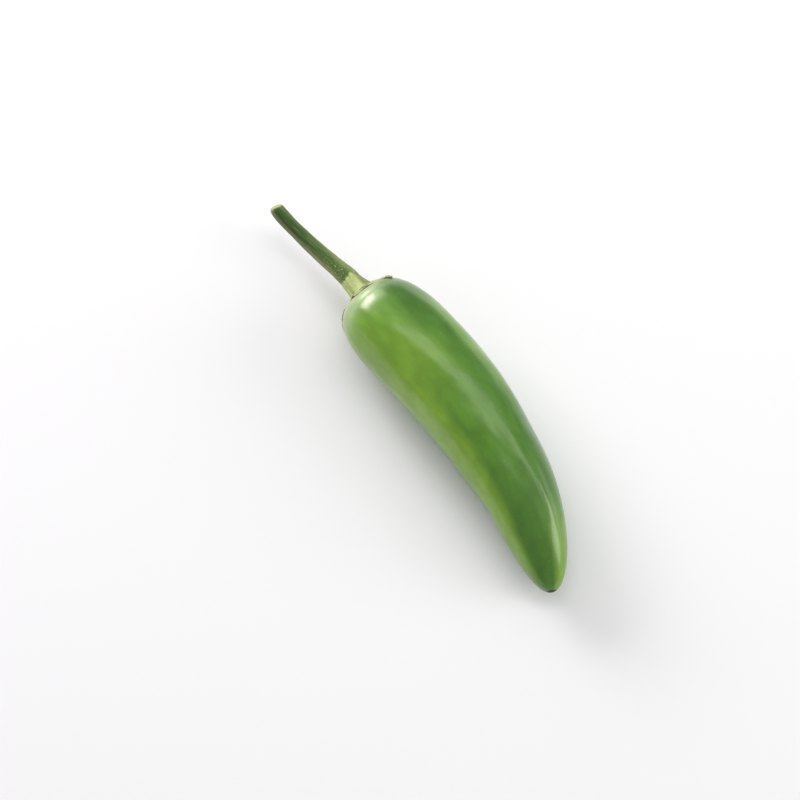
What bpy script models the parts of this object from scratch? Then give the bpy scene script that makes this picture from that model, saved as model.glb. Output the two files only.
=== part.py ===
"""A green chilli pepper as picked, lying on its side.

It has three pieces that grew one on another: the pod, the calyx that caps its crown, and the stem.
All three follow one centreline, from the broken end of the stem to the tip of the pod. Distances along
it are counted in plan from the pod's crown, and are negative towards the stem. Angles round it are
counted from the top, and are positive towards the outer side of the bend.
+X runs along the pod to its tip, +Y is the outer side of the bend, and +Z is up from the table.
"""

import math

import bmesh
import bpy
from mathutils import Matrix, Vector

MM = 0.001

# Driving dimensions
POD_LENGTH = 78.9 * MM
POD_RADIUS = 10.5 * MM
STEM_END = -29.9 * MM
NECK_TOP = -5.3 * MM
NECK_RADIUS = 2.2 * MM
CALYX_RADIUS = 7.5 * MM
GAP = 0.3 * MM

# The pod's outline: two blunted quarter ellipses that meet where the pod is fullest
FULLEST = 0.24 * POD_LENGTH
CROWN_POWERS = (2.8, 3.6)
TIP_POWERS = (2.1, 2.05)
LOBES = 3
LOBE_DEPTH = 0.018
LOBE_ANGLE = math.radians(75)

# The centreline in plan: its heading from +X, in degrees, at distances from the crown in millimetres
HEADINGS = ((-30, 0), (-26, 13), (-15, 15), (-8, 15), (-4, 8), (0, 5), (4, 9), (12, 12), (23, 10), (43, 2),
            (58, -7), (73, -15), (80, -18))
# Its height over the table, in millimetres
HEIGHTS = ((-30, 9.0), (-20, 7.8), (-10, 7.8), (-3, 8.1), (2, 8.3), (5, 8.9), (9, 9.7), (15, 10.2),
           (29, 10.1), (44, 9.5), (59, 8.1), (71, 6.4), (80, 5.2))
STEP = 0.25 * MM

# Swells and hollows of the skin: distance and half length in millimetres, angle and half angle in
# degrees, and height in millimetres, negative for a hollow
WAIST = (47, 8, 0, 400, -0.40)
TIP_CREST = ((50, 7, 17, 12, 0.32), (57, 5, 25, 10, 0.32), (63, 4, 32, 10, 0.30), (70, 5, 36, 22, 0.16))
TIP_FURROW = ((59, 4, 41, 7, -0.15), (64.5, 3.5, 48, 9, -0.32))
SIDE_HOLLOW = (58, 6, -100, 35, -0.40)
SIDE_SWELL = (48, 5, -100, 30, 0.30)
BACK_FLAT = (54, 9, -8, 26, -0.34)
CROWN_SWELL = (9, 7, -60, 50, 0.25)
FLANK_RIDGE = (32, 14, -52, 14, 0.22)
RELIEF = (WAIST, SIDE_HOLLOW, SIDE_SWELL, BACK_FLAT, CROWN_SWELL, FLANK_RIDGE, *TIP_CREST, *TIP_FURROW)

# The calyx: where its trumpet meets its brim, as a share of the way to the margin, and how tightly it
# bends; its teeth, each with its angle in degrees and its length in millimetres, negative for a notch;
# and the ribs to them
CALYX_THICKNESS = 0.6 * MM
MARGIN_THICKNESS = 0.4 * MM
SPREAD = 0.53
TRUMPET_BEND = 0.8
TEETH = ((-118, 1.1), (-56, -2.4), (-30, -0.6), (-2, 0.3), (42, 1.0), (98, 0.9), (138, 0.7), (175, -0.6))
TOOTH_HALF_ANGLE = 13
TOOTH_LIFT = 0.25 * MM
RIB_HEIGHT = 0.3 * MM

# The stem: its radius in millimetres at distances from the crown, and its ribs
STEM_OUTLINE = ((-29.9, 1.44), (-29, 1.55), (-27, 1.64), (-24, 1.64), (-17, 1.78), (-10, 1.96), (-5.3, 2.2))
STEM_RIBS = 5
STEM_RIB_DEPTH = 0.05
END_BEVEL = 0.35 * MM
END_DISH = 0.4 * MM

# How far apart two points are taken to find a slope, as a share
NUDGE = 0.02

# How finely each piece is divided
POD_SIDES, POD_RINGS = 40, 48
CALYX_SIDES, LINING_RINGS, BRIM_RINGS, TRUMPET_RINGS = 56, 9, 6, 9
STEM_SIDES, STEM_RINGS = 20, 20


def smooth_through(points, at):
    """The value at a distance, on a smooth curve through (distance, value) points."""
    if at <= points[0][0]:
        return points[0][1]
    if at >= points[-1][0]:
        return points[-1][1]
    i = next(n for n in range(len(points) - 1) if at <= points[n + 1][0])

    def slope(n):
        low, high = points[max(n - 1, 0)], points[min(n + 1, len(points) - 1)]
        return (high[1] - low[1]) / (high[0] - low[0])

    (x0, y0), (x1, y1) = points[i], points[i + 1]
    span = x1 - x0
    t = (at - x0) / span
    return (
        y0 * (1 + 2 * t) * (1 - t) ** 2
        + y1 * t * t * (3 - 2 * t)
        + slope(i) * span * t * (1 - t) ** 2
        + slope(i + 1) * span * t * t * (t - 1)
    )


def plan_points():
    """The centreline's points in plan, a step apart, from past the stem's end to past the tip."""
    steps_back = round(-STEM_END / STEP) + 4
    steps_on = round(POD_LENGTH / STEP) + 4
    points = {0: Vector((0, 0))}
    for way, count in ((1, steps_on), (-1, steps_back)):
        for n in range(count):
            middle = (n + 0.5) * way * STEP
            heading = math.radians(smooth_through(HEADINGS, middle / MM))
            ahead = Vector((math.cos(heading), math.sin(heading)))
            points[way * (n + 1)] = points[way * n] + way * STEP * ahead
    return points


PLAN = plan_points()


def centre(along):
    """The centreline's point at a distance from the crown."""
    n = min(max(math.floor(along / STEP), min(PLAN)), max(PLAN) - 1)
    flat = PLAN[n].lerp(PLAN[n + 1], along / STEP - n)
    return Vector((flat.x, flat.y, smooth_through(HEIGHTS, along / MM) * MM))


def cross_section(along):
    """The centreline's point, and the two directions across it: out to the side, and up."""
    ahead = (centre(along + STEP) - centre(along - STEP)).normalized()
    side = Vector((-ahead.y, ahead.x, 0)).normalized()
    return centre(along), side, ahead.cross(side)


def surface_point(along, angle, radius):
    """A point at a radius from the centreline, in the direction that the angle gives."""
    middle, side, up = cross_section(along)
    return middle + radius * (math.cos(angle) * up + math.sin(angle) * side)


def relief(along, angle):
    """How far the skin stands out from the plain outline, in metres."""
    total = 0
    for at, half_length, towards, half_angle, height in RELIEF:
        away = math.degrees(angle) - towards
        away -= 360 * round(away / 360)
        total += height * math.exp(-(((along / MM - at) / half_length) ** 2) - (away / half_angle) ** 2)
    return total * MM


def plain_radius(along):
    """The pod's radius before its lobes and relief."""
    if along < FULLEST:
        share, (inner, outer) = (FULLEST - along) / FULLEST, CROWN_POWERS
    else:
        share, (inner, outer) = (along - FULLEST) / (POD_LENGTH - FULLEST), TIP_POWERS
    return POD_RADIUS * max(0, 1 - share**inner) ** (1 / outer)


def pod_radius(along, angle):
    plain = plain_radius(along)
    share = plain / POD_RADIUS
    lobes = 1 + LOBE_DEPTH * math.cos(LOBES * (angle - LOBE_ANGLE))
    return plain * lobes + relief(along, angle) * share**2 * (3 - 2 * share)


def tooth(angle):
    """How far the calyx's teeth stand out of its margin at an angle, in millimetres."""
    total = 0
    for towards, length in TEETH:
        away = math.degrees(angle) - towards
        away -= 360 * round(away / 360)
        total += length * math.exp(-((away / TOOTH_HALF_ANGLE) ** 2))
    return total


def margin_radius(angle):
    return CALYX_RADIUS + tooth(angle) * MM


def crown_distance(radius):
    """How far along the pod its crown has grown to a radius."""
    inner, outer = CROWN_POWERS
    return FULLEST * (1 - (1 - (radius / POD_RADIUS) ** outer) ** (1 / inner))


def over_crown(share, angle, clear):
    """Distance and radius of a point held clear of the crown, at a share of the way to the margin."""
    if share == 0:
        return -clear, 0
    along = crown_distance(share * margin_radius(angle))
    ahead, back = along * (1 + NUDGE), along * (1 - NUDGE)
    run, rise = ahead - back, pod_radius(ahead, angle) - pod_radius(back, angle)
    length = math.hypot(run, rise)
    return along - clear * rise / length, pod_radius(along, angle) + clear * run / length


def brim(share, angle):
    """Distance and radius of a point on the calyx's outer face, where it lies over the crown."""
    thickness = CALYX_THICKNESS + (MARGIN_THICKNESS - CALYX_THICKNESS) * share**3
    lift = TOOTH_LIFT * max(tooth(angle), 0) * share**4
    return over_crown(share, angle, GAP + thickness + lift)


def trumpet(share, angle):
    """Distance and radius of a point on the calyx's outer face, on a curve from the neck to the brim."""
    foot, beyond = brim(SPREAD, angle), brim(SPREAD + NUDGE, angle)
    slope = (beyond[0] - foot[0]) / (beyond[1] - foot[1])
    flare = foot[1] - NECK_RADIUS
    bend = (foot[0] - slope * flare * TRUMPET_BEND, foot[1] - flare * TRUMPET_BEND)
    rib = RIB_HEIGHT * tooth(angle) * math.sin(math.pi * share)
    along, radius = (
        (1 - share) ** 2 * start + 2 * share * (1 - share) * middle + share**2 * end
        for start, middle, end in zip((NECK_TOP, NECK_RADIUS), bend, foot)
    )
    return along, radius + rib


def stem_radius(along, angle):
    plain = smooth_through(STEM_OUTLINE, along / MM) * MM
    return plain * (1 + STEM_RIB_DEPTH * math.cos(STEM_RIBS * angle))


def points_round(sides, outline):
    """Points spaced round the centreline. The outline gives each one's distance and radius at its angle."""
    turn = [math.tau * n / sides for n in range(sides)]
    return [surface_point(along, angle, radius) for angle in turn for along, radius in [outline(angle)]]


def skin(rings):
    """A closed mesh over rings of the same number of points, with a ring of one point at each end."""
    mesh = bmesh.new()
    made = [[mesh.verts.new(point) for point in ring] for ring in rings]
    for low, high in zip(made, made[1:]):
        sides = max(len(low), len(high))
        for n in range(sides):
            m = (n + 1) % sides
            corners = [low[n % len(low)], low[m % len(low)], high[m % len(high)], high[n % len(high)]]
            mesh.faces.new(dict.fromkeys(corners))
    bmesh.ops.recalc_face_normals(mesh, faces=mesh.faces)
    return mesh


def pod_mesh():
    """Rings from crown to tip, closer together at the ends. The table presses the underside flat."""
    rings = []
    for n in range(POD_RINGS + 1):
        along = POD_LENGTH * (1 - math.cos(math.pi * n / POD_RINGS)) / 2
        points = points_round(POD_SIDES, lambda angle: (along, pod_radius(along, angle)))
        rings.append([Vector((p.x, p.y, max(p.z, 0))) for p in points])
    rings[0], rings[-1] = [centre(0)], [centre(POD_LENGTH)]
    return skin(rings)


def calyx_mesh():
    """A cap: a lining that follows the crown, a brim over it, and a trumpet that ends flat at the neck."""
    rings = [[centre(-GAP)]]
    for n in range(1, LINING_RINGS + 1):
        rings.append(points_round(CALYX_SIDES, lambda angle: over_crown(n / LINING_RINGS, angle, GAP)))
    for n in range(BRIM_RINGS):
        rings.append(points_round(CALYX_SIDES, lambda angle: brim(1 - (1 - SPREAD) * n / BRIM_RINGS, angle)))
    for n in range(TRUMPET_RINGS + 1):
        rings.append(points_round(CALYX_SIDES, lambda angle: trumpet(1 - n / TRUMPET_RINGS, angle)))
    rings.append([centre(NECK_TOP)])
    return skin(rings)


def stem_mesh():
    """A ribbed stalk. Its broken end has a bevelled rim and a dished face."""
    foot, bevel = NECK_TOP - GAP, STEM_END + END_BEVEL
    rings = [[centre(foot)]]
    for n in range(STEM_RINGS + 1):
        along = foot + (bevel - foot) * n / STEM_RINGS
        rings.append(points_round(STEM_SIDES, lambda angle: (along, stem_radius(along, angle))))
    rings.append(points_round(STEM_SIDES, lambda angle: (STEM_END, stem_radius(STEM_END, angle) - END_BEVEL)))
    rings.append([centre(STEM_END + END_DISH)])
    return skin(rings)


def material(name, colour, roughness):
    made = bpy.data.materials.new(name)
    made.use_nodes = True
    shader = made.node_tree.nodes["Principled BSDF"]
    shader.inputs["Base Color"].default_value = (*colour, 1)
    shader.inputs["Roughness"].default_value = roughness
    shader.inputs["Metallic"].default_value = 0
    made.diffuse_color = (*colour, 1)
    return made


def piece(name, mesh, finish):
    data = bpy.data.meshes.new(name)
    mesh.to_mesh(data)
    mesh.free()
    data.shade_smooth()
    data.set_sharp_from_angle(angle=math.radians(50))
    data.materials.append(finish)
    made = bpy.data.objects.new(name, data)
    bpy.context.scene.collection.objects.link(made)
    return made


def stand_on_origin(pieces):
    """Slides the pieces so that the origin is under the middle of their box, on the table."""
    corners = [vertex.co for made in pieces for vertex in made.data.vertices]
    middle_x = (min(c.x for c in corners) + max(c.x for c in corners)) / 2
    middle_y = (min(c.y for c in corners) + max(c.y for c in corners)) / 2
    for made in pieces:
        made.data.transform(Matrix.Translation((-middle_x, -middle_y, 0)))


def main():
    for old in list(bpy.data.objects):
        bpy.data.objects.remove(old)
    pod = piece("pod", pod_mesh(), material("waxy green skin", (0.13, 0.29, 0.045), 0.25))
    calyx = piece("calyx", calyx_mesh(), material("pale calyx", (0.36, 0.46, 0.16), 0.55))
    stem = piece("stem", stem_mesh(), material("olive stem", (0.10, 0.20, 0.045), 0.6))
    stand_on_origin([pod, calyx, stem])


main()
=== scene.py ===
# %% [markdown]
# # A green chilli pepper, as picked
#
# The chilli lies on a pale table and is seen from above. The solids of the pod, the calyx and the stem are
# loaded first, as a frame. Each is then replaced here by a finer mesh of the same form, with its skin.
# Lengths are in metres. The frame's +X runs along the pod to its tip, and +Z is up.

# %% Load the frame
import math

import bmesh
import bpy
from mathutils import Matrix, Vector, noise
from mathutils.bvhtree import BVHTree


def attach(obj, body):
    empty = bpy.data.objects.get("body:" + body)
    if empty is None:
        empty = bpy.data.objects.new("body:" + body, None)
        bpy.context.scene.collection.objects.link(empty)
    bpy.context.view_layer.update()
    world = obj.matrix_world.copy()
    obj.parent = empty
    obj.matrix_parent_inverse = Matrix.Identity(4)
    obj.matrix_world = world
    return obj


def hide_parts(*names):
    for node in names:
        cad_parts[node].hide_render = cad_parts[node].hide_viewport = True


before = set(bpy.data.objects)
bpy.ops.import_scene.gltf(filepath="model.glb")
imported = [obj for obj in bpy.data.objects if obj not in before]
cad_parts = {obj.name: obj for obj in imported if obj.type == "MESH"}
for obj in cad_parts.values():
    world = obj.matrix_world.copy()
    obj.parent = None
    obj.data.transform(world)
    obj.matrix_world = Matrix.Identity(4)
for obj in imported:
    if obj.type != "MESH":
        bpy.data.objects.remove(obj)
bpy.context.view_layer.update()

MM = 0.001
print("frame:", ", ".join(sorted(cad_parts)))

# %% [markdown]
# ## The centreline
#
# The chilli's three pieces grew along one line, from the broken end of the stem to the tip of the pod. The
# line could be a Bezier curve set by hand. It is better worked out from how it turns and how high it lies,
# because the solids were made that way, and the fine meshes then fit them. Distances along it are counted in
# plan from the pod's crown, and are negative towards the stem.

# %% The centreline
CROWN = Vector((-24.36, -3.765)) * MM
POD_LENGTH = 78.9 * MM
STEM_END = -29.9 * MM
STEP = 0.25 * MM
SPARE_STEPS = 4

# Heading from +X in degrees, and height over the table in millimetres, at distances in millimetres
HEADINGS = ((-30, 0), (-26, 13), (-15, 15), (-8, 15), (-4, 8), (0, 5), (4, 9), (12, 12), (23, 10), (43, 2),
            (58, -7), (73, -15), (80, -18))
HEIGHTS = ((-30, 9.0), (-20, 7.8), (-10, 7.8), (-3, 8.1), (2, 8.3), (5, 8.9), (9, 9.7), (15, 10.2),
           (29, 10.1), (44, 9.5), (59, 8.1), (71, 6.4), (80, 5.2))


def smooth_through(points, at):
    """The value at a distance, on a smooth curve through (distance, value) points."""
    if at <= points[0][0]:
        return points[0][1]
    if at >= points[-1][0]:
        return points[-1][1]
    i = next(n for n in range(len(points) - 1) if at <= points[n + 1][0])

    def slope(n):
        low, high = points[max(n - 1, 0)], points[min(n + 1, len(points) - 1)]
        return (high[1] - low[1]) / (high[0] - low[0])

    (x0, y0), (x1, y1) = points[i], points[i + 1]
    span = x1 - x0
    t = (at - x0) / span
    return (
        y0 * (1 + 2 * t) * (1 - t) ** 2
        + y1 * t * t * (3 - 2 * t)
        + slope(i) * span * t * (1 - t) ** 2
        + slope(i + 1) * span * t * t * (t - 1)
    )


def plan_points():
    """The centreline's points in plan, a step apart, from past the stem's end to past the tip."""
    steps_back = round(-STEM_END / STEP) + SPARE_STEPS
    steps_on = round(POD_LENGTH / STEP) + SPARE_STEPS
    points = {0: CROWN}
    for way, count in ((1, steps_on), (-1, steps_back)):
        for n in range(count):
            middle = (n + 0.5) * way * STEP
            heading = math.radians(smooth_through(HEADINGS, middle / MM))
            ahead = Vector((math.cos(heading), math.sin(heading)))
            points[way * (n + 1)] = points[way * n] + way * STEP * ahead
    return points


PLAN = plan_points()


def centre(along):
    """The centreline's point at a distance from the crown."""
    n = min(max(math.floor(along / STEP), min(PLAN)), max(PLAN) - 1)
    flat = PLAN[n].lerp(PLAN[n + 1], along / STEP - n)
    return Vector((flat.x, flat.y, smooth_through(HEIGHTS, along / MM) * MM))


def cross_section(along):
    """The centreline's point, and the directions across it and along it: to the side, up, and ahead."""
    ahead = (centre(along + STEP) - centre(along - STEP)).normalized()
    side = Vector((-ahead.y, ahead.x, 0)).normalized()
    return centre(along), side, ahead.cross(side), ahead


print("tip of the centreline (mm):", [round(c / MM, 1) for c in centre(POD_LENGTH)])

# %% [markdown]
# ## A short way to write nodes
#
# Blender's node trees can be built by hand, one node and one link at a time, which takes a dozen lines for a
# sum. The two classes below let a tree be written as ordinary maths. An Out is one output of a node, and
# arithmetic on it adds Math nodes. A Tree adds every other kind of node. Both work for shapes and materials.

# %% A short way to write nodes


def find(sockets, key):
    """A socket by its number, its identifier or its name."""
    if isinstance(key, int):
        return sockets[key]
    return next((s for s in sockets if s.identifier == key), None) or sockets[key]


class Out:
    """One output of a node. Arithmetic on it adds Math nodes to the same tree."""

    def __init__(self, tree, node, key=0):
        self.tree, self.node, self.socket = tree, node, find(node.outputs, key)

    def output(self, key):
        return Out(self.tree, self.node, key)

    def __add__(self, other):
        return self.tree.math("ADD", self, other)

    def __sub__(self, other):
        return self.tree.math("SUBTRACT", self, other)

    def __mul__(self, other):
        return self.tree.math("MULTIPLY", self, other)

    def __truediv__(self, other):
        return self.tree.math("DIVIDE", self, other)

    def __pow__(self, other):
        return self.tree.math("POWER", self, other)

    def __neg__(self):
        return self.tree.math("MULTIPLY", self, -1)

    def __rsub__(self, other):
        return self.tree.math("SUBTRACT", other, self)

    __radd__ = __add__
    __rmul__ = __mul__


class Tree:
    """Adds nodes to a node tree. A node's settings are set first, and then its sockets."""

    def __init__(self, tree):
        self.tree = tree

    def add(self, kind, settings=None, sockets=None, out=0):
        node = self.tree.nodes.new(kind)
        for name, value in (settings or {}).items():
            setattr(node, name, value)
        for key, value in (sockets or {}).items():
            self.plug(find(node.inputs, key), value)
        return Out(self, node, out) if node.outputs else node

    def plug(self, socket, value):
        if isinstance(value, Out):
            self.tree.links.new(value.socket, socket)
        elif socket.type == "RGBA":
            socket.default_value = (*value, 1)
        else:
            socket.default_value = value

    def math(self, operation, *values):
        return self.add("ShaderNodeMath", {"operation": operation}, dict(enumerate(values)))

    def vector(self, operation, *values, scale=None):
        sockets = dict(enumerate(values)) | ({} if scale is None else {"Scale": scale})
        return self.add("ShaderNodeVectorMath", {"operation": operation}, sockets)

    def mix(self, share, first, second):
        """The first colour where the share is nothing, and the second where it is one."""
        sockets = {"Factor_Float": share, "A_Color": first, "B_Color": second}
        return self.add("ShaderNodeMix", {"data_type": "RGBA"}, sockets, out="Result_Color")

    def xyz(self, x, y, z):
        return self.add("ShaderNodeCombineXYZ", sockets={"X": x, "Y": y, "Z": z})

    def split(self, vector):
        parts = self.add("ShaderNodeSeparateXYZ", sockets={"Vector": vector})
        return [parts.output(axis) for axis in "XYZ"]

    def noise(self, vector, size, detail=2.0, seed=0.0, squeeze=1):
        """Smooth noise from 0 to 1, with humps of about a size. A squeeze below 1 draws them out along X."""
        if squeeze != 1:
            vector = self.vector("MULTIPLY", vector, (squeeze, 1, 1))
        moved = self.vector("ADD", vector, (seed, seed, seed))
        sockets = {"Vector": moved, "Scale": 1 / size, "Detail": detail}
        return self.add("ShaderNodeTexNoise", sockets=sockets, out="Fac")

    def attribute(self, name, out="Fac"):
        """A value that the mesh carries at each of its points."""
        return self.add("ShaderNodeAttribute", {"attribute_name": name}, out=out)

    def bell(self, value, middle, half_width):
        """One where the value is at the middle, falling to nothing within about two half widths."""
        off = (value - middle) / half_width
        return self.math("EXPONENT", -(off * off))

    def ramp(self, value, low, high):
        """Nothing below the low value and one above the high one, with a smooth rise between them."""
        settings = {"interpolation_type": "SMOOTHSTEP"}
        return self.add("ShaderNodeMapRange", settings, {"Value": value, "From Min": low, "From Max": high})


# %% [markdown]
# ## Growing a skin over a curve
#
# The pod and the stem are both a skin round a line. A loop in Python could place their points. Geometry Nodes
# suit them better: the line's points carry what they know, such as their distance along the chilli, a circle
# is swept along it with Curve to Mesh, and each point of the sweep is then set at the radius that a rule
# gives. The skin also keeps where each point would be if the chilli were straight, and the materials follow
# that, so their streaks bend with it.

# %% Growing a skin over a curve
# The noise on a skin is read on a straight tube of this radius
TUBE_RADIUS = 10 * MM
# Points nearer to each other than this are joined, which closes the two ends
WELD = 0.002 * MM


def line_object(name, stations):
    """A line of points on the centreline. Each carries its distance along it, its share of the radius
    that the rule gives there, how far its ring leans, and the directions across the line and along it."""
    sections = [cross_section(station[0]) for station in stations]
    line = bpy.data.meshes.new(name)
    line.from_pydata([s[0] for s in sections], [(n, n + 1) for n in range(len(stations) - 1)], [])
    for column, word in ((0, "along"), (1, "share"), (2, "lean")):
        values = [station[column] for station in stations]
        line.attributes.new(word, "FLOAT", "POINT").data.foreach_set("value", values)
    for column, word in ((1, "side"), (2, "up"), (3, "ahead")):
        values = [c for s in sections for c in s[column]]
        line.attributes.new(word, "FLOAT_VECTOR", "POINT").data.foreach_set("vector", values)
    return bpy.data.objects.new(name, line)


def skin_tree(name, inputs, radius_rule):
    """A tree that sweeps a circle along a line and sets each point at the radius that the rule gives."""
    group = bpy.data.node_groups.new(name, "GeometryNodeTree")
    kinds = {"Geometry": "NodeSocketGeometry", "Sides": "NodeSocketInt", "Material": "NodeSocketMaterial"}
    for word in ("Geometry", "Sides", "Material", *inputs):
        group.interface.new_socket(word, in_out="INPUT", socket_type=kinds.get(word, "NodeSocketFloat"))
    group.interface.new_socket("Geometry", in_out="OUTPUT", socket_type="NodeSocketGeometry")
    tree = Tree(group)
    given = tree.add("NodeGroupInput")

    def stored(geometry, word, value, kind="FLOAT"):
        sockets = {"Geometry": geometry, "Name": word, "Value": value}
        return tree.add("GeometryNodeStoreNamedAttribute", {"data_type": kind, "domain": "POINT"}, sockets)

    def read(word, kind="FLOAT"):
        return tree.add("GeometryNodeInputNamedAttribute", {"data_type": kind}, {"Name": word})

    line = tree.add("GeometryNodeMeshToCurve", sockets={"Mesh": given.output("Geometry")})
    line = stored(line, "middle", tree.add("GeometryNodeInputPosition"), "FLOAT_VECTOR")
    circle = tree.add("GeometryNodeCurvePrimitiveCircle", sockets={"Resolution": given.output("Sides")})
    turn = tree.add("GeometryNodeInputIndex") * math.tau / given.output("Sides")
    circle = stored(circle, "turn", turn)
    skin = tree.add("GeometryNodeCurveToMesh", sockets={"Curve": line, "Profile Curve": circle})

    along, turn = read("along"), read("turn")
    up_share, side_share = tree.math("COSINE", turn), tree.math("SINE", turn)
    on_tube = tree.xyz(along, side_share * TUBE_RADIUS, up_share * TUBE_RADIUS)
    radius = radius_rule(tree, given, along, turn, on_tube) * read("share")
    up = tree.vector("SCALE", read("up", "FLOAT_VECTOR"), scale=radius * up_share)
    side = tree.vector("SCALE", read("side", "FLOAT_VECTOR"), scale=radius * side_share)
    ahead = tree.vector("SCALE", read("ahead", "FLOAT_VECTOR"), scale=radius * up_share * read("lean"))
    across = tree.vector("ADD", tree.vector("ADD", up, side), ahead)
    x, y, z = tree.split(tree.vector("ADD", read("middle", "FLOAT_VECTOR"), across))
    # Nothing goes under the table, so the pod has a small flat spot where it rests
    place = tree.xyz(x, y, tree.math("MAXIMUM", z, 0))
    skin = tree.add("GeometryNodeSetPosition", sockets={"Geometry": skin, "Position": place})
    straight = tree.xyz(along, radius * side_share, radius * up_share)
    skin = stored(skin, "straight", straight, "FLOAT_VECTOR")
    skin = tree.add("GeometryNodeMergeByDistance", sockets={"Geometry": skin, "Distance": WELD})
    skin = tree.add("GeometryNodeSetShadeSmooth", sockets={"Geometry": skin})
    skin = tree.add("GeometryNodeRealizeInstances", sockets={"Geometry": skin})
    sockets = {"Geometry": skin, "Material": given.output("Material")}
    skin = tree.add("GeometryNodeSetMaterial", sockets=sockets)
    tree.add("NodeGroupOutput", sockets={"Geometry": skin})
    return group


def grown(name, line, group, values):
    """Grows the skin over the line with the tree's inputs set, and returns it as a plain mesh object."""
    bpy.context.scene.collection.objects.link(line)
    modifier = line.modifiers.new(group.name, "NODES")
    modifier.node_group = group
    for item in group.interface.items_tree:
        if item.in_out == "INPUT" and item.name in values:
            modifier[item.identifier] = values[item.name]
    evaluated = line.evaluated_get(bpy.context.evaluated_depsgraph_get())
    mesh = bpy.data.meshes.new_from_object(evaluated)
    bpy.data.objects.remove(line)
    return finished(name, mesh)


def finished(name, mesh):
    """A mesh as an object in the scene, with its faces pointing outwards."""
    work = bmesh.new()
    work.from_mesh(mesh)
    bmesh.ops.recalc_face_normals(work, faces=work.faces)
    closed = all(len(edge.link_faces) == 2 for edge in work.edges)
    work.to_mesh(mesh)
    work.free()
    mesh.name = name
    made = bpy.data.objects.new(name, mesh)
    bpy.context.scene.collection.objects.link(made)
    print(f"{name}: {len(mesh.polygons)} faces, {'closed' if closed else 'OPEN'}")
    return made


# %% [markdown]
# ## The pod's form
#
# The pod is a rounded tube that tapers to a blunt tip. It isn't turned on a lathe: three faint lobes run
# down it, a furrow opens beside its tip, its waist is a little thinner, and its skin has low swells and
# hollows that bend the reflections of the lights. Sculpting would give these once. As a rule they stay
# adjustable: two quarter ellipses give the outline, a cosine the lobes, and each swell is a bell-shaped hump
# with its own place, size and height.

# %% The pod's form
POD_RADIUS = 10.5 * MM
FULLEST = 0.24 * POD_LENGTH
CROWN_POWERS = (2.8, 3.6)
TIP_POWERS = (2.1, 2.05)
LOBES, LOBE_DEPTH, LOBE_ANGLE = 3, 0.018, 75

# Distance and half length in millimetres, angle and half angle in degrees, and height in millimetres
WAIST = (47, 8, 0, 400, -0.40)
TIP_CREST = ((50, 7, 17, 12, 0.32), (57, 5, 25, 10, 0.32), (63, 4, 32, 10, 0.30), (70, 5, 36, 22, 0.16))
TIP_FURROW = ((59, 4, 41, 7, -0.15), (64.5, 3.5, 48, 9, -0.32))
SIDE_HOLLOW = (58, 6, -100, 35, -0.40)
SIDE_SWELL = (48, 5, -100, 30, 0.30)
BACK_FLAT = (54, 9, -8, 26, -0.34)
CROWN_SWELL = (9, 7, -60, 50, 0.25)
FLANK_RIDGE = (32, 14, -52, 14, 0.22)
RELIEF = (WAIST, *TIP_CREST, *TIP_FURROW, SIDE_HOLLOW, SIDE_SWELL, BACK_FLAT, CROWN_SWELL,
          FLANK_RIDGE)

RIPPLE_HEIGHT = 0.6 * MM
# The ripple rises between the first two distances and dies down between the others, in millimetres
RIPPLE_RISES, RIPPLE_FADES = (2, 16), (46, 58)

POD_SIDES, POD_RINGS = 128, 200


def pod_radius(tree, given, along, turn, on_tube):
    """The pod's outline, its lobes and its relief, as nodes."""
    length, fullest = given.output("Length"), given.output("Fullest")
    crown_share = tree.math("MAXIMUM", (fullest - along) / fullest, 0)
    tip_share = tree.math("MAXIMUM", (along - fullest) / (length - fullest), 0)
    share = 1
    for part, (inner, outer) in ((crown_share, CROWN_POWERS), (tip_share, TIP_POWERS)):
        share = tree.math("MAXIMUM", 1 - part**inner, 0) ** (1 / outer) * share
    lobe_wave = tree.math("COSINE", (turn - math.radians(LOBE_ANGLE)) * LOBES)
    lobes = 1 + given.output("Lobe depth") * lobe_wave
    relief = 0
    for at, half_length, towards, half_angle, height in RELIEF:
        away = tree.math("WRAP", turn - math.radians(towards), math.pi, -math.pi)
        hump = tree.bell(along, at * MM, half_length * MM) * tree.bell(away, 0, math.radians(half_angle))
        relief = hump * (height * MM) + relief
    ripple = tree.noise(on_tube, 6.5 * MM, detail=0, seed=3.1, squeeze=0.6) - 0.5
    ripple = ripple + tree.noise(on_tube, 3 * MM, detail=0.5, seed=9.4, squeeze=0.6) * 0.4 - 0.2
    rises, fades = (
        tree.ramp(along, start * MM, end * MM) for start, end in (RIPPLE_RISES, RIPPLE_FADES)
    )
    relief = relief + ripple * given.output("Ripple") * (rises * (1 - 0.9 * fades))
    # The relief fades out where the outline closes
    return given.output("Radius") * share * lobes + relief * share**2 * (3 - share * 2)


pod_inputs = ("Length", "Radius", "Fullest", "Lobe depth", "Ripple")
pod_tree = skin_tree("Pod over a line", pod_inputs, pod_radius)
# The rings stand closer towards both ends, where the outline turns fastest
ring_shares = [(1 - math.cos(math.pi * n / POD_RINGS)) / 2 for n in range(POD_RINGS + 1)]
pod_line = line_object("pod_line", [(POD_LENGTH * share, 1, 0) for share in ring_shares])
skin_finish = bpy.data.materials.new("waxy_skin")
pod = grown("pod_skin", pod_line, pod_tree, {
    "Sides": POD_SIDES, "Material": skin_finish, "Length": POD_LENGTH, "Radius": POD_RADIUS,
    "Fullest": FULLEST, "Lobe depth": LOBE_DEPTH, "Ripple": RIPPLE_HEIGHT,
})

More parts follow.
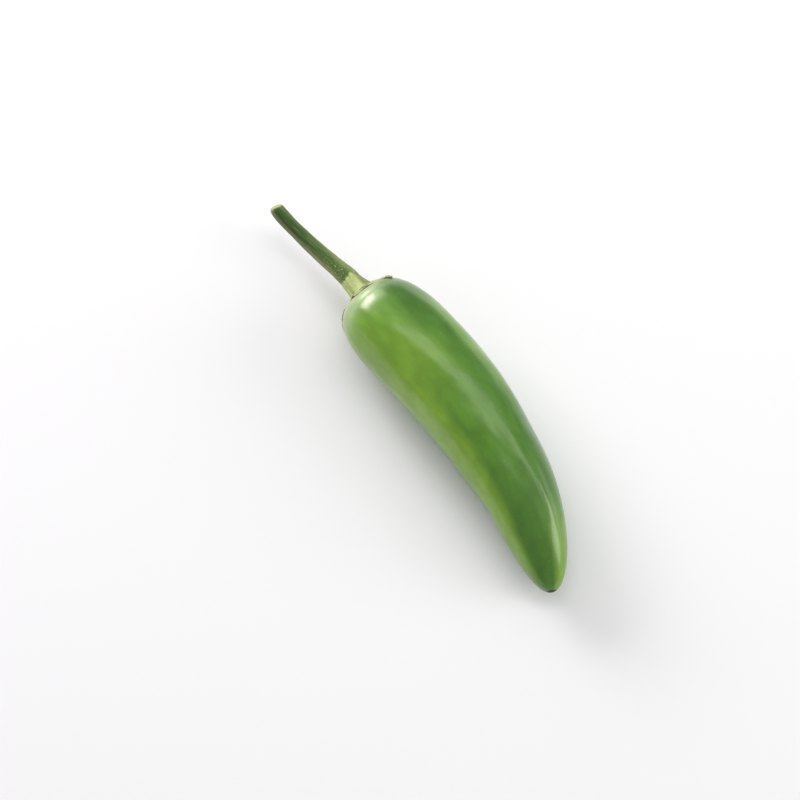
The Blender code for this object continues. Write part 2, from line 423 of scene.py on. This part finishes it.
# %% [markdown]
# ## The calyx's form
#
# The calyx is the flower's green cup, dried onto the crown, with a wrinkled brim and a corky lip. It hugs the
# skin below, so it isn't modelled apart and pushed on: each of its points is guessed from the crown's
# outline, moved to the nearest point of the finished pod, and lifted off it. From the brim each line of
# points then sweeps up to the neck on a Bezier curve, with a rib behind each tooth and fine folds between
# the ribs.

# %% The calyx's form
CALYX_RADIUS = 7.5 * MM
CALYX_THICKNESS = 0.5 * MM
CALYX_SEAT = 0.04 * MM
NECK_TOP = -5.3 * MM
NECK_RADIUS = 2.2 * MM
# The neck's curve ends, and the brim begins, at this share of the way to the margin
SPREAD = 0.53
# Each tooth's angle in degrees, its length in millimetres, negative for a notch, and its half angle
TEETH = ((-118, 1.1, 13), (-70, 2.7, 3.5), (-60, -2.9, 19), (-30, -0.8, 12), (-2, 0.3, 10), (22, -0.3, 12),
         (42, 1.0, 8), (98, 0.9, 13), (138, 0.7, 13), (175, -0.6, 15))
# Dried spots on the margin: angle and half angle
DRY_SPOTS = ((-118, 9), (-70, 6), (-33, 6), (-2, 8), (44, 5), (75, 12), (98, 8), (138, 10), (-160, 12))
# The side where the brim lies thin on the pod, and the side where the neck flares: angle and half angle
THIN_SIDE, FLARE_SIDE = (-58, 26), (70, 42)
# The corky lip's middle and half width, as shares of the way to the margin
LIP = (0.92, 0.06)
TOOTH_LIFT = 0.25 * MM
RIB_HEIGHT = 0.25 * MM
FOLD_HEIGHT = 0.3 * MM
CORK_HEIGHT = 0.22 * MM
RAGGEDNESS = 0.25 * MM
RIM_STEPS, RIM_BULGE = 4, 0.02
CALYX_SIDES, CALYX_BRIM_RINGS, CALYX_TRUMPET_RINGS = 240, 44, 44

pod_surface = BVHTree.FromObject(pod, bpy.context.evaluated_depsgraph_get())
crown, crown_side, crown_up, crown_ahead = cross_section(0)


def bell(value, middle, half_width):
    """One at the middle, falling to nothing within about two half widths."""
    return math.exp(-(((value - middle) / half_width) ** 2))


def bell_round(angle, towards, half_angle):
    """A bell on the angle from a direction, which is in degrees."""
    away = math.degrees(angle) - towards
    return bell(away - 360 * round(away / 360), 0, half_angle)


def tooth(angle):
    """How far the calyx's teeth stand out of its margin at an angle, in millimetres."""
    return sum(length * bell_round(angle, towards, half_angle) for towards, length, half_angle in TEETH)


def spoke(angle, side=crown_side, up=crown_up):
    """The direction across the centreline at an angle from the top."""
    return math.cos(angle) * up + math.sin(angle) * side


def on_crown(share, angle, lift):
    """A point held over the crown, at a share of the way from the axis to the calyx's margin."""
    ragged = RAGGEDNESS * noise.noise(Vector((math.cos(angle), math.sin(angle), 0)) * 5)
    radius = share * (CALYX_RADIUS + tooth(angle) * MM + ragged)
    inner, outer = CROWN_POWERS
    along = FULLEST * (1 - (1 - (radius / POD_RADIUS) ** outer) ** (1 / inner))
    middle, side, up, _ = cross_section(along)
    place, normal, _, _ = pod_surface.find_nearest(middle + radius * spoke(angle, side, up))
    return place + normal * lift


def folds(angle, share):
    """The ribs that run to the teeth, and the fine folds between the neck and the margin."""
    # The noise changes faster round the calyx than out from its middle, so the folds run outwards
    around = Vector((math.cos(angle) * 3.4, math.sin(angle) * 3.4, share * 1.3))
    fold = noise.noise(around) + 0.7 - 1.6 * abs(noise.noise(around * 2.1 + Vector((9, 0, 0))))
    fold += 0.45 * noise.noise(around * 4.5 + Vector((0, 4, 0)))
    return RIB_HEIGHT * max(tooth(angle), 0) + FOLD_HEIGHT * fold


def brim_lift(angle, share):
    """How high the outer face stands over the crown: thin at the margin, behind a low corky lip."""
    place = Vector((math.cos(angle), math.sin(angle), share))
    cork = 0.7 * noise.noise(place * 6) + 0.6 * noise.noise(place * 15)
    lip = CORK_HEIGHT * (0.7 + cork) * bell(share, *LIP)
    curl = TOOTH_LIFT * max(tooth(angle), 0) * share**12
    fade = 1 - ((share - SPREAD) / (1 - SPREAD)) ** 2
    thickness = CALYX_THICKNESS * (1 - 0.6 * share**4) + folds(angle, share) * fade + lip
    return (1 - 0.85 * bell_round(angle, *THIN_SIDE)) * thickness + curl


def calyx_point(share, angle):
    """A point on the outer face: on the brim past the spread, and on the curve up to the neck before it."""
    if share > SPREAD:
        return on_crown(share, angle, brim_lift(angle, share))
    foot = on_crown(SPREAD, angle, brim_lift(angle, SPREAD))
    middle, side, up, _ = cross_section(NECK_TOP)
    rise = share / SPREAD
    top = middle + spoke(angle, side, up) * (NECK_RADIUS + folds(angle, 0) * 0.35)
    flare = bell_round(angle, *FLARE_SIDE)
    bend = top + (crown - middle) * (0.62 - 0.4 * flare)
    inward = foot - spoke(angle) * (foot - crown).dot(spoke(angle)) * (0.42 - 0.26 * flare)
    return (
        top * (1 - rise) ** 3
        + bend * 3 * rise * (1 - rise) ** 2
        + inward * 3 * rise**2 * (1 - rise)
        + foot * rise**3
    )


def calyx_rings():
    """Rings of points with their share of the way to the margin: lining, rounded rim, brim, then trumpet."""
    angles = [math.tau * n / CALYX_SIDES for n in range(CALYX_SIDES)]

    def rim_lift(angle, n):
        return CALYX_SEAT + (brim_lift(angle, 1) - CALYX_SEAT) * n / RIM_STEPS

    yield 0, [crown - crown_ahead * CALYX_SEAT]
    for n in range(1, CALYX_BRIM_RINGS + 1, 2):
        share = n / CALYX_BRIM_RINGS
        yield share, [on_crown(share, angle, CALYX_SEAT) for angle in angles]
    yield 1, [on_crown(1, angle, CALYX_SEAT) for angle in angles]
    for n in range(1, RIM_STEPS):
        rim = RIM_BULGE * math.sin(math.pi * n / RIM_STEPS)
        yield 1, [on_crown(1 + rim, angle, rim_lift(angle, n)) for angle in angles]
    for n in range(CALYX_BRIM_RINGS + 1):
        share = 1 - (1 - SPREAD) * n / CALYX_BRIM_RINGS
        yield share, [calyx_point(share, angle) for angle in angles]
    for n in range(1, CALYX_TRUMPET_RINGS + 1):
        share = SPREAD * (1 - n / CALYX_TRUMPET_RINGS)
        yield share, [calyx_point(share, angle) for angle in angles]
    yield 0, [centre(NECK_TOP)]


def closed_rings(rings):
    """A mesh over rings of points, closed by a ring of one point at each end. Each point carries its share of
    the way to the margin, how dry and how folded the calyx is there, and its place as the crown sees it."""
    work = bmesh.new()
    reach, dry, fold = (work.verts.layers.float.new(word) for word in ("reach", "dry", "fold"))
    straight = work.verts.layers.float_vector.new("straight")
    made = []
    for share, places in rings:
        row = [work.verts.new(place) for place in places]
        for n, vertex in enumerate(row):
            angle = math.tau * n / len(row)
            from_crown = vertex.co - crown
            vertex[reach] = share
            vertex[dry] = sum(bell_round(angle, *spot) for spot in DRY_SPOTS)
            vertex[fold] = folds(angle, share) / FOLD_HEIGHT
            vertex[straight] = [from_crown.dot(axis) for axis in (crown_ahead, crown_side, crown_up)]
        made.append(row)
    for low, high in zip(made, made[1:]):
        sides = max(len(low), len(high))
        for n in range(sides):
            m = (n + 1) % sides
            corners = [low[n % len(low)], low[m % len(low)], high[m % len(high)], high[n % len(high)]]
            work.faces.new(dict.fromkeys(corners)).smooth = True
    mesh = bpy.data.meshes.new("rings")
    work.to_mesh(mesh)
    work.free()
    return mesh


calyx = finished("calyx_cap", closed_rings(calyx_rings()))

# %% [markdown]
# ## The stem's form
#
# The stem is a stalk with five soft ridges. It is a little thicker where it leaves the calyx, and narrows to
# a rounded, dished end where it broke off. It could be a bent cylinder. Instead it is swept along the same
# centreline as the pod, by the same method with a rule of its own, so it meets the neck squarely.

# %% The stem's form
# Distance from the crown and radius, in millimetres
STEM_OUTLINE = ((-29.9, 1.44), (-29, 1.55), (-27, 1.64), (-24, 1.64), (-17, 1.78), (-10, 1.96), (-5.3, 2.2),
                (-4, 2.0))
# A float curve's values stop at one, which stands for this radius in millimetres
CURVE_TOP = 4
STEM_RIBS, STEM_RIB_DEPTH = 5, 0.05
# The ridges turn by one radian over this distance
RIB_TWIST = 30 * MM
BARK_HEIGHT = 0.25 * MM
STEM_OVERLAP = 1 * MM
# The broken end leans. The lean sets in before the bevel, which is a distance from the end
END_LEAN, END_BEVEL, LEAN_LENGTH = 0.45, 1.4 * MM, 1.6 * MM
# The rounded rim and the dished face: distance from the end in millimetres, and share of the radius
END_PROFILE = ((1.1, 1.0), (0.75, 0.98), (0.45, 0.93), (0.22, 0.85), (0.08, 0.75), (0.06, 0.64), (0.2, 0.52),
               (0.4, 0.4), (0.5, 0.27), (0.55, 0.13), (0.56, 0))
STEM_SIDES, STEM_RINGS = 72, 150


def stem_radius(tree, given, along, turn, on_tube):
    """The stem's outline, its ridges, which twist a little, and its uneven bark, as nodes."""
    first, last = STEM_OUTLINE[0][0], STEM_OUTLINE[-1][0]
    outline = tree.add("ShaderNodeFloatCurve", sockets={"Value": (along / MM - first) / (last - first)})
    curve = outline.node.mapping.curves[0]
    for at, radius in STEM_OUTLINE[1:-1]:
        curve.points.new((at - first) / (last - first), radius / CURVE_TOP)
    curve.points[0].location = (0, STEM_OUTLINE[0][1] / CURVE_TOP)
    curve.points[-1].location = (1, STEM_OUTLINE[-1][1] / CURVE_TOP)
    outline.node.mapping.update()
    ridge_wave = tree.math("COSINE", (turn + along / RIB_TWIST) * STEM_RIBS)
    ridges = 1 + given.output("Ridge depth") * ridge_wave
    bark = tree.noise(on_tube, 2.5 * MM, detail=3, seed=1.7, squeeze=0.5) - 0.5
    return outline * (CURVE_TOP * MM) * ridges + bark * given.output("Bark height")


stem_tree = skin_tree("Stem over a line", ("Ridge depth", "Bark height"), stem_radius)
stem_start, bevel = NECK_TOP + STEM_OVERLAP, STEM_END + END_BEVEL
# The first two stations close the end that is hidden in the neck
stem_stations = [(stem_start, 0, 0), (stem_start, 0.8, 0)]
for n in range(1, STEM_RINGS + 1):
    along = stem_start + (bevel - stem_start) * n / STEM_RINGS
    stem_stations.append((along, 1, END_LEAN * bell(along, bevel, LEAN_LENGTH)))
stem_stations += [(STEM_END + at * MM, share, END_LEAN) for at, share in END_PROFILE]
stem_finish = bpy.data.materials.new("ridged_stem")
stem = grown("stem_stalk", line_object("stem_line", stem_stations), stem_tree, {
    "Sides": STEM_SIDES, "Material": stem_finish, "Ridge depth": STEM_RIB_DEPTH, "Bark height": BARK_HEIGHT,
})

# %% [markdown]
# ## Placing colours on the chilli
#
# The colours of a chilli lie along it and round it: a streak down one side, a pale ring at the calyx. They
# could be painted on by hand, but the paint would slip whenever a shape changed. Each is placed here by where
# a point would be if the chilli were straight, which both its distance along the chilli and the side that it
# faces come from.

# %% Placing colours on the chilli


class Finish:
    """A material's tree and shader, and where each point would be if the chilli were straight."""

    def __init__(self, material):
        material.use_nodes = True
        self.material, self.tree = material, Tree(material.node_tree)
        self.shader = material.node_tree.nodes["Principled BSDF"]
        self.straight = self.tree.attribute("straight", out="Vector")
        self.along = self.tree.split(self.straight)[0]
        self.across = self.tree.vector("MULTIPLY", self.straight, (0, 1, 1))
        self.outwards = self.tree.vector("NORMALIZE", self.across)

    def noise(self, size, detail, seed, squeeze=1):
        return self.tree.noise(self.straight, size, detail, seed, squeeze)

    def facing(self, angle, low, high, moved=None):
        """One on the side that faces an angle from the top, in degrees. The low and the high value are the
        cosines of how far off it the edge begins and ends, and the edge can be moved by noise."""
        turn = math.radians(angle)
        towards = (0, math.sin(turn), math.cos(turn))
        cosine = self.tree.vector("DOT_PRODUCT", self.outwards, towards).output("Value")
        return self.tree.ramp(cosine if moved is None else cosine + moved, low, high)

    def past(self, start, full, moved=None):
        """One past a distance from the crown. The edge runs between two distances in millimetres, and can
        be moved by noise."""
        along = self.along if moved is None else self.along + moved
        return self.tree.ramp(along, start * MM, full * MM)

    def wear(self, colour, roughness, height, depth):
        """Gives the shader its colour, its roughness, and its fine relief, as a height and its depth."""
        bump = self.tree.add("ShaderNodeBump", sockets={"Height": height, "Distance": depth, "Strength": 1.0})
        for word, value in (("Base Color", colour), ("Roughness", roughness), ("Normal", bump)):
            self.tree.plug(self.shader.inputs[word], value)
        print(f"{self.material.name}: {len(self.material.node_tree.nodes)} nodes")


# %% [markdown]
# ## The skin's finish
#
# A chilli's skin is green flesh under a thin clear wax, with a slightly green sheen. The flesh isn't
# one green: the side that the sun reached is yellower, the other side and the tip are deeper, lime streaks
# run down it, and it is paler round the calyx. That pale ring is partly a painted highlight: on one side it
# is widened to fill the dark gap between the bright spot and the calyx. A patch of painted shade darkens the
# top of the shoulder. A picture of the skin could be wrapped on, but nodes stay sharp at any distance. Each
# colour is laid on in its place, then broken up by noise that is drawn out along the pod: blotches, fine
# hairlines and pale flecks. The wax is a coat, and the tip ends in a dry brown scar.

# %% The skin's finish
DEEP_GREEN, MID_GREEN, LIME_GREEN = (0.054, 0.164, 0.013), (0.088, 0.23, 0.015), (0.167, 0.33, 0.023)
STREAK_LIME, PALE_GREEN, SCAR_BROWN = (0.22, 0.4, 0.03), (0.33, 0.43, 0.2), (0.05, 0.035, 0.015)
# The sides that the colours face, in degrees from the top
SUNNY_SIDE, SHADED_SIDE, PALE_AND_HIGHLIGHT_SIDE, PAINTED_SHADE_SIDE = -62, 74, -60, 22
FLANK_STREAK, TIP_STREAK, CROWN_STREAK = -64, 52, 58
SHEEN = (0.92, 1, 0.72, 1)

skin = Finish(skin_finish)
tree = skin.tree
drift = skin.noise(7 * MM, detail=2, seed=0.4, squeeze=0.3) - 0.5
shaded = skin.facing(SHADED_SIDE, 0.1, 0.85, drift * 0.8)
shaded = tree.math("MAXIMUM", shaded, skin.past(40, 62, drift * (10 * MM)) * 0.85)
narrowed = 0.28 - 0.28 * skin.past(12, 24)
sunny = skin.facing(SUNNY_SIDE, -0.05, 0.9, drift * 0.7 - narrowed)
sunny = sunny * skin.past(0, 9) * (1 - skin.past(20, 40, drift * (16 * MM)))
flank = skin.facing(FLANK_STREAK, 0.84, 1.0, drift * 0.15) * skin.past(15, 27) * (1 - skin.past(70, 80))
near_tip = skin.facing(TIP_STREAK, 0.7, 1.0, drift * 0.15) * skin.past(59, 69)
near_crown = skin.facing(CROWN_STREAK, 0.92, 1.0, drift * 0.05) * skin.past(10, 16)
near_crown = near_crown * (1 - skin.past(30, 44))
streak = tree.math("MAXIMUM", tree.math("MAXIMUM", flank * 0.75, near_tip * 0.6), near_crown * 0.4)
# The pale ring round the calyx, strongest on one side: partly the skin's own paler colour, and partly a
# painted highlight that fills the gap beside the bright spot
ring = 1 - skin.past(3.5, 9, drift * (3 * MM))
ring = ring * (0.08 + 0.85 * skin.facing(PALE_AND_HIGHLIGHT_SIDE, -0.1, 0.5))
green = tree.mix(shaded, MID_GREEN, DEEP_GREEN)
for share, colour in ((sunny, LIME_GREEN), (streak, STREAK_LIME), (ring, PALE_GREEN)):
    green = tree.mix(share, green, colour)

blotches = skin.noise(2.4 * MM, detail=3, seed=2.2, squeeze=0.55) - 0.5
hairs = skin.noise(0.45 * MM, detail=2, seed=5.1, squeeze=0.06) - 0.5
# Painted shade: a patch on the top of the shoulder, near the crown, is made about a fifth darker
painted_shade = tree.bell(skin.along, 10 * MM, 6 * MM) * skin.facing(PAINTED_SHADE_SIDE, 0.89, 1.0)
tone = (1 + blotches * 0.6 + hairs * 0.14) * (1 - painted_shade * 0.22)
flecks = tree.ramp(skin.noise(0.35 * MM, detail=0, seed=8.3), 0.72, 0.8)
tip = POD_LENGTH / MM
scar = skin.past(tip - 0.45, tip - 0.15, blotches * (0.5 * MM))
green = tree.mix(flecks * 0.12, tree.vector("SCALE", green, scale=tone), PALE_GREEN)
green = tree.mix(scar, green, SCAR_BROWN)
peel = skin.noise(0.5 * MM, detail=1, seed=6.6) + hairs
skin.wear(green, 0.3 + scar * 0.4 + blotches * 0.08, peel, 0.004 * MM)
tree.plug(skin.shader.inputs["Coat Weight"], (1 - scar) * 0.5)
skin.shader.inputs["Coat Roughness"].default_value = 0.2
skin.shader.inputs["Specular Tint"].default_value = SHEEN

# %% [markdown]
# ## The stem's finish
#
# A stalk is green with olive streaks along its ridges, lighter on one side and dried tan on the other, and
# its broken end has dried pale round a dark heart. It gets more olive and more flecked towards the calyx,
# and turns pale yellow on its neck. Two materials could meet there, but on a real chilli there is no seam, so
# the stem and the calyx are coloured by one function.

# %% The stem's finish
STALK_GREEN, STALK_OLIVE, STALK_BROWN = (0.03, 0.088, 0.008), (0.13, 0.15, 0.04), (0.085, 0.06, 0.03)
STALK_LIGHT, STALK_TAN, NECK_YELLOW = (0.14, 0.215, 0.055), (0.28, 0.31, 0.15), (0.45, 0.52, 0.21)
# The sides that the colours face, in degrees from the top
LIGHT_SIDE, TAN_SIDE, OLIVE_AND_SHADE_SIDE = 62, -105, 85


def stalk_green(on):
    """The stalk's streaked green, and the pale yellow that takes over where it widens into the calyx. The
    streaks and the patches are returned too, for the relief."""
    tree = on.tree
    streaks = on.noise(0.55 * MM, detail=3, seed=1.3, squeeze=0.12)
    patches = on.noise(1.6 * MM, detail=3, seed=4.9, squeeze=0.4)
    fine, coarse = streaks - 0.5, patches - 0.5
    green = tree.mix(tree.ramp(streaks, 0.48, 0.7) * 0.7, STALK_GREEN, STALK_OLIVE)
    green = tree.mix(on.facing(LIGHT_SIDE, 0.45, 0.95, fine * 0.8) * 0.85, green, STALK_LIGHT)
    green = tree.mix(on.facing(TAN_SIDE, 0.3, 1.0, fine * 0.6) * 0.85, green, STALK_TAN)
    green = tree.mix(tree.ramp(patches + streaks * 0.5, 0.88, 1.05) * 0.8, green, STALK_BROWN)
    olive = on.past(-18, -9) * (0.35 + 0.5 * tree.ramp(patches, 0.4, 0.6))
    green = tree.mix(olive * 0.6, green, STALK_OLIVE)
    flecks = tree.ramp(on.noise(0.4 * MM, detail=1, seed=7.7), 0.62, 0.7) * on.past(-15, -6)
    green = tree.mix(flecks * 0.7, green, NECK_YELLOW)
    green = tree.vector("SCALE", green, scale=0.82 + 0.4 * on.past(-24, -7))
    # Olive down one side of the neck: partly its own colour and partly painted shade
    neck = tree.mix(on.facing(OLIVE_AND_SHADE_SIDE, 0.3, 0.6, coarse * 0.5) * 0.8, NECK_YELLOW, STALK_OLIVE)
    neck = tree.vector("SCALE", neck, scale=0.76 + streaks * 0.42 + patches * 0.25)
    neck_share = on.past(-6.1, -5.1, coarse * (3 * MM) + fine * (1.6 * MM))
    return tree.mix(neck_share, green, neck), streaks, patches


stalk = Finish(stem_finish)
tree = stalk.tree
green, streaks, patches = stalk_green(stalk)
coarse = patches - 0.5
broken_at = STEM_END / MM
end = 1 - stalk.past(broken_at + 0.2, broken_at + 0.7, coarse * (1.2 * MM))
from_axis = tree.vector("LENGTH", stalk.across).output("Value")
heart = 1 - tree.ramp(from_axis + coarse * (0.6 * MM), 0.5 * MM, 1.0 * MM)
green = tree.mix(end * 0.85, green, NECK_YELLOW)
green = tree.mix(end * heart, green, STALK_BROWN)
stalk.wear(green, 0.42 + streaks * 0.3, streaks + patches, 0.1 * MM)
stalk.shader.inputs["Specular IOR Level"].default_value = 0.35

# %% [markdown]
# ## The calyx's finish
#
# The neck's yellow runs out along the calyx's ribs, with green between them. The cup is wrinkled, and
# its margin has dried to a tan cork with brown dashes, most of all at the teeth. The dry spots could be
# separate scraps of mesh, but they lie flat in the lip. So the mesh carries how far out, how folded and how
# dry each point is, and the colours follow these with noise.

# %% The calyx's finish
CUP_GREEN, CUP_PALE = (0.05, 0.115, 0.028), (0.26, 0.34, 0.12)
CORK_TAN, CORK_BROWN = (0.40, 0.42, 0.17), (0.07, 0.035, 0.018)

calyx_finish = bpy.data.materials.new("calyx_green")
calyx.data.materials.append(calyx_finish)
cup = Finish(calyx_finish)
tree = cup.tree
green, streaks, _ = stalk_green(cup)
reach, fold, dried = (tree.attribute(word) for word in ("reach", "fold", "dry"))
wrinkles = cup.noise(1.1 * MM, detail=4, seed=3.3, squeeze=0.6)
grain = cup.noise(0.45 * MM, detail=3, seed=2.6)
coarse, fine = wrinkles - 0.5, grain - 0.5
folded = tree.mix(tree.ramp(fold + coarse * 2.5, -0.2, 1.5), CUP_GREEN, CUP_PALE)
green = tree.mix(tree.ramp(reach + coarse * 0.3, 0.3, 0.55), green, folded)
lip = tree.mix(tree.ramp(wrinkles, 0.5, 0.66) * 0.55, CORK_TAN, CUP_PALE)
lip = tree.mix(tree.ramp(grain, 0.55, 0.72) * 0.6, lip, CORK_BROWN)
lip = tree.vector("SCALE", lip, scale=0.6 + grain * 0.75)
cork = tree.ramp(reach + coarse * 0.25, 0.84, 0.9)
dashes = tree.ramp(dried * 0.6 + coarse * 1.2 + fine * 1.3, 0.26, 0.58)
dashes = dashes * tree.ramp(reach + fine * 0.1, 0.87, 0.95)
green = tree.mix(dashes, tree.mix(cork, green, lip), CORK_BROWN)
relief = wrinkles + grain * 0.6 + streaks * 0.5
cup.wear(green, 0.45 + wrinkles * 0.25 + cork * 0.15, relief, 0.14 * MM)
cup.shader.inputs["Specular IOR Level"].default_value = 0.4

# %% [markdown]
# ## Join the pieces to the frame
#
# The three fine pieces take the places of the three solids, which are hidden. They could be parented by hand;
# here each is parented to an empty that stands for the chilli's body. A chilli has nothing that moves, so all
# three ride on its one body.

# %% Join the pieces to the frame
for piece, node, slot in ((pod, "pod", "skin"), (calyx, "calyx", "calyx"), (stem, "stem", "stem")):
    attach(piece, "root")
    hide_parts(node)

# %% [markdown]
# ## The camera
#
# The photograph was taken from close by and looks steeply down on the chilli. The camera could be turned by
# hand until the outlines met. It is placed instead by what it aims at, how far round and how high it stands
# and how far off, and a long lens keeps the pod from looking stretched.

# %% The camera
AIM = Vector((-2.14, -7.51, 0)) * MM
AZIMUTH, ELEVATION, DISTANCE = math.radians(60.1), math.radians(68), 489 * MM
FOCAL_LENGTH, SENSOR_WIDTH = 100, 36

back = Vector((
    math.sin(AZIMUTH) * math.cos(ELEVATION), -math.cos(AZIMUTH) * math.cos(ELEVATION), math.sin(ELEVATION)
))
right = Vector((math.cos(AZIMUTH), math.sin(AZIMUTH), 0))
above = back.cross(right)

lens = bpy.data.cameras.new("camera")
lens.lens, lens.sensor_width = FOCAL_LENGTH, SENSOR_WIDTH
lens.clip_start, lens.clip_end = 0.01, 20
camera = bpy.data.objects.new("camera", lens)
camera.matrix_world = Matrix((
    (right.x, above.x, back.x, AIM.x + DISTANCE * back.x),
    (right.y, above.y, back.y, AIM.y + DISTANCE * back.y),
    (right.z, above.z, back.z, AIM.z + DISTANCE * back.z),
    (0, 0, 0, 1),
))
bpy.context.scene.collection.objects.link(camera)
bpy.context.scene.camera = camera

# %% [markdown]
# ## The table and the light
#
# The chilli lies on a plain pale table in soft daylight. Small lamps would give it hard shadows and sharp
# sparks. Large soft lights stand in for windows instead, each placed where the waxy skin mirrors it as in the
# photograph: the one overhead gives the long pale band down the pod, the window beyond the crown gives the
# bright spot there, and the others fill the edges.

# %% The table and the light
TABLE_SIZE, TABLE_COLOUR, TABLE_ROUGHNESS = 6, (0.9, 0.9, 0.9, 1), 0.9
SKY_STRENGTH = 0.42

bpy.ops.mesh.primitive_plane_add(size=TABLE_SIZE)
table = bpy.context.object
table.name = "table"
table_finish = bpy.data.materials.new("pale_table")
table_finish.use_nodes = True
table_shader = table_finish.node_tree.nodes["Principled BSDF"]
table_shader.inputs["Base Color"].default_value = TABLE_COLOUR
table_shader.inputs["Roughness"].default_value = TABLE_ROUGHNESS
table.data.materials.append(table_finish)


def soft_light(name, place, size, power, aim=None, turn=0, colour=(1, 1, 1)):
    """A rectangular soft light at a place. It faces the aim or, where none is given, faces straight down with
    its long side turned from +X by an angle in degrees."""
    data = bpy.data.lights.new(name, "AREA")
    data.shape, data.size, data.size_y, data.energy, data.color = "RECTANGLE", *size, power, colour
    lamp = bpy.data.objects.new(name, data)
    lamp.location = place
    lamp.rotation_euler.z = math.radians(turn)
    if aim:
        lamp.rotation_euler = (place - aim).to_track_quat("Z", "Y").to_euler()
    bpy.context.scene.collection.objects.link(lamp)


soft_light("overhead", Vector((-0.04, 0.35, 0.9)), (1.2, 0.36), 2.7, turn=45)
soft_light("overhead_edge", Vector((-0.52, 0.48, 0.9)), (1.7, 0.5), 0.7, turn=45)
# These three are placed as the camera sees them: to the right, up the picture, and back towards the camera
beyond_crown = AIM + above * 0.76 - right * 0.62 + back * 0.1
soft_light("window", beyond_crown, (0.55, 0.3), 6.2, AIM, colour=(1, 0.94, 1))
soft_light("horizon", AIM + above * 0.9 - right * 0.42, (0.62, 0.5), 2.7, AIM)
soft_light("side", AIM + right * 0.92 + above * 0.12 + back * 0.36, (0.5, 0.6), 3.7, AIM)

world = bpy.data.worlds.new("studio")
world.use_nodes = True
world.node_tree.nodes["Background"].inputs["Color"].default_value = (1, 1, 1, 1)
world.node_tree.nodes["Background"].inputs["Strength"].default_value = SKY_STRENGTH
bpy.context.scene.world = world
bpy.context.scene.view_settings.view_transform = "Standard"
